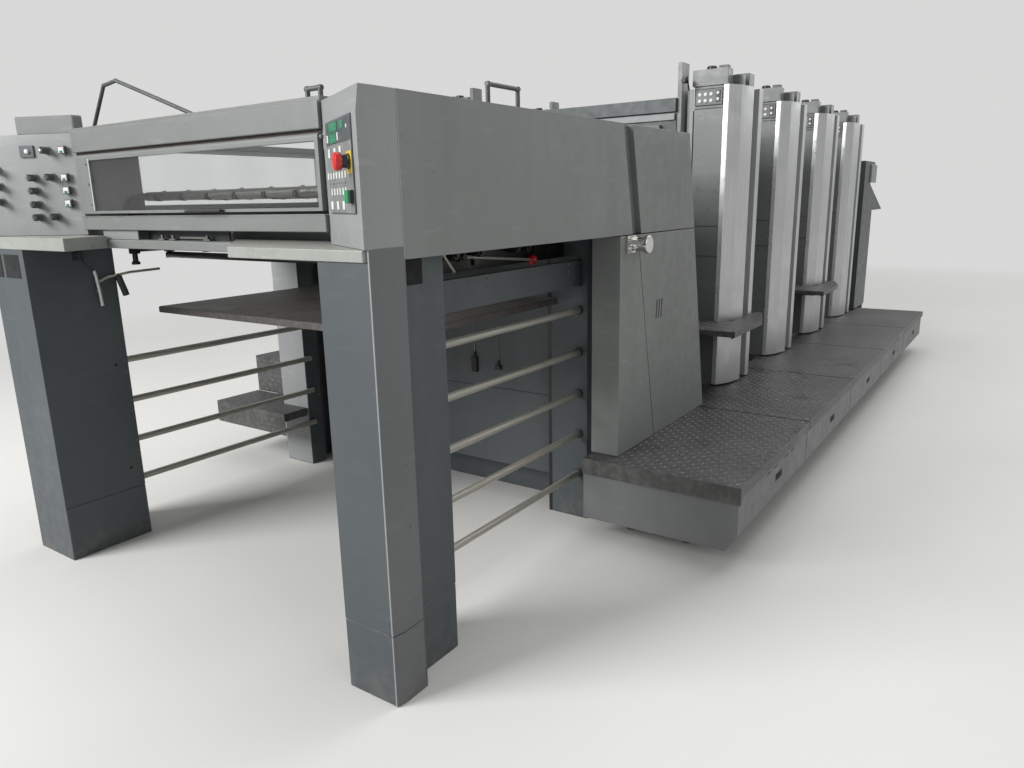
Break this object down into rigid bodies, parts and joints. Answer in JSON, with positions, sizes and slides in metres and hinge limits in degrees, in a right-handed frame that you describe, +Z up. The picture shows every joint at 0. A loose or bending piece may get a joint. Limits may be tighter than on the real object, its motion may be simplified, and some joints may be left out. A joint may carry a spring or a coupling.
{
  "type": "offset_printing_press",
  "caption": "Sheet-fed offset printing press with a tall delivery on columns, printing units with silver covers, a tread-plate footboard and a feeder.",
  "frame": {"origin": "On the floor, under the middle of the bed that carries the printing units, on the middle plane of the press", "axes": "+X towards the operator side, +Y from the delivery end to the feeder end, +Z up"},
  "size_m": [2.495, 6.5973, 1.754],
  "materials": {
    "column_paint": "satin",
    "panel_paint": "satin",
    "light_paint": "satin",
    "bright_steel": "brushed",
    "dark_metal": "matte",
    "clear_sheet": "clear",
    "guard_paint": "satin",
    "key_plastic": "matte",
    "red_plastic": "gloss",
    "roller_rubber": "matte",
    "tread_steel": "satin",
    "skirt_paint": "satin",
    "unit_paint": "satin",
    "silver_paint": "satin",
    "feeder_metal": "matte"
  },
  "bodies": {
    "press": {"front_column_operator": "column_paint", "front_column_drive": "column_paint", "rear_columns": "column_paint", "guard_rails": "bright_steel", "side_beams": "column_paint", "delivery_frames": "column_paint", "delivery_body": "panel_paint", "side_cover_operator": "panel_paint", "rear_cover_operator": "panel_paint", "side_cover_drive": "panel_paint", "drive_window": "clear_sheet", "cabinet_operator": "panel_paint", "cabinet_door": "panel_paint", "cabinet_drive": "light_paint", "roof_cover": "panel_paint", "roof_handles": "dark_metal", "front_header": "panel_paint", "front_sill": "panel_paint", "sheet_tray": "panel_paint", "control_console": "light_paint", "switch_console": "light_paint", "switch_hood": "panel_paint", "console_keys": "key_plastic", "switch_buttons": "key_plastic", "shelf_operator": "light_paint", "shelf_drive": "light_paint", "gripper_chains": "dark_metal", "gripper_bars": "bright_steel", "pull_rollers": "roller_rubber", "release_lever": "red_plastic", "lift_guides": "dark_metal", "cover_boss": "bright_steel", "unit_1": "unit_paint", "unit_2": "unit_paint", "unit_3": "unit_paint", "unit_4": "unit_paint", "operator_towers": "unit_paint", "drive_towers": "unit_paint", "operator_columns": "silver_paint", "drive_columns": "silver_paint", "button_plates": "light_paint", "tower_heads": "unit_paint", "ink_guards": "unit_paint", "machine_bed": "unit_paint", "footboard_plates": "tread_steel", "footboard_skirt": "skirt_paint", "footboard_frame": "skirt_paint", "operator_steps": "tread_steel", "drive_footboard": "tread_steel", "drive_frame": "skirt_paint", "feeder_stand": "feeder_metal", "feeder_sides": "unit_paint", "feed_table": "feeder_metal", "feeder_head": "feeder_metal", "feeder_pile_board": "tread_steel"},
    "front_guard": {"front_guard": "guard_paint", "guard_pane": "clear_sheet"},
    "pile_board": {"pile_board": "tread_steel"}
  },
  "joints": [
    {"name": "front_guard_hinge", "type": "hinge", "parent": "press", "child": "front_guard", "pos_m": [0.0265, -3.425, 1.33], "axis": [-1, 0, 0], "range_deg": [0, 80]},
    {"name": "pile_lift", "type": "slide", "parent": "press", "child": "pile_board", "axis": [0, 0, 1], "range_m": [-0.79, 0]}
  ]
}
